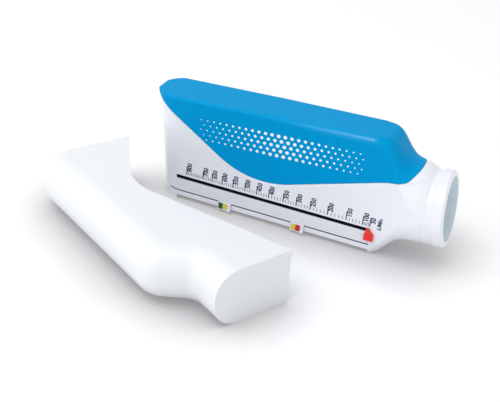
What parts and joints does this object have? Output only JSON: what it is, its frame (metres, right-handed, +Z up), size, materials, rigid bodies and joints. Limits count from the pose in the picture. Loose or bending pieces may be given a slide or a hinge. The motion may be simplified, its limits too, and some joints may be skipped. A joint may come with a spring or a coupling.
{
  "type": "peak flow meter",
  "caption": "Hand-held breath flow meter: flat two-part casing, round mouthpiece, slotted scale with sliding pointer, two zone markers and a loose clip-on handle.",
  "frame": {"origin": "centre of the rear foot's flat underside", "axes": "+X along the body towards the mouthpiece, +Z up, the scale faces -Y"},
  "size_m": [0.156, 0.0964, 0.0492],
  "materials": {
    "white_plastic": "smooth moulded gloss",
    "blue_plastic": "smooth moulded gloss",
    "track_plastic": "fine lengthwise ribs",
    "inner_plastic": "plain moulded",
    "steel": "drawn",
    "soft_rubber": "plain",
    "red_plastic": "smooth",
    "green_print": "printed label",
    "yellow_print": "printed label",
    "red_print": "printed label"
  },
  "bodies": {
    "meter": {"lower_casing": "white_plastic", "top_cover": "blue_plastic", "pointer_track": "track_plastic", "rear_bush": "inner_plastic", "front_spider": "inner_plastic", "guide_rod": "steel", "return_spring": "steel", "end_buffer": "soft_rubber", "zero_stop": "inner_plastic"},
    "piston": {"piston_plate": "inner_plastic", "piston_hub": "inner_plastic", "driver_arm": "inner_plastic"},
    "pointer_carriage": {"pointer": "red_plastic", "pointer_clip": "inner_plastic"},
    "high_zone": {"high_marker": "white_plastic", "high_marker_green_label": "green_print", "high_marker_yellow_label": "yellow_print"},
    "low_zone": {"low_marker": "white_plastic", "low_marker_yellow_label": "yellow_print", "low_marker_red_label": "red_print"},
    "handle": {"handle_shell": "white_plastic"}
  },
  "joints": [
    {"name": "piston_slide", "type": "slide", "parent": "meter", "child": "piston", "axis": [-1, 0, 0], "range_m": [0, 0.0793], "stiffness_N_per_m": 4, "deforming": ["return_spring"]},
    {"name": "pointer_slide", "type": "slide", "parent": "meter", "child": "pointer_carriage", "axis": [-1, 0, 0], "range_m": [0, 0.0793]},
    {"name": "high_marker_slide", "type": "slide", "parent": "meter", "child": "high_zone", "axis": [1, 0, 0], "range_m": [-0.0185, 0.0125]},
    {"name": "low_marker_slide", "type": "slide", "parent": "meter", "child": "low_zone", "axis": [1, 0, 0], "range_m": [-0.0125, 0.026]},
    {"name": "lift_handle", "type": "slide", "parent": "meter", "child": "handle", "axis": [0, 0, 1], "range_m": [0, 0.06]}
  ],
  "couplings": [
    {"joint": "pointer_slide", "follows": "piston_slide", "ratio": 1}
  ]
}
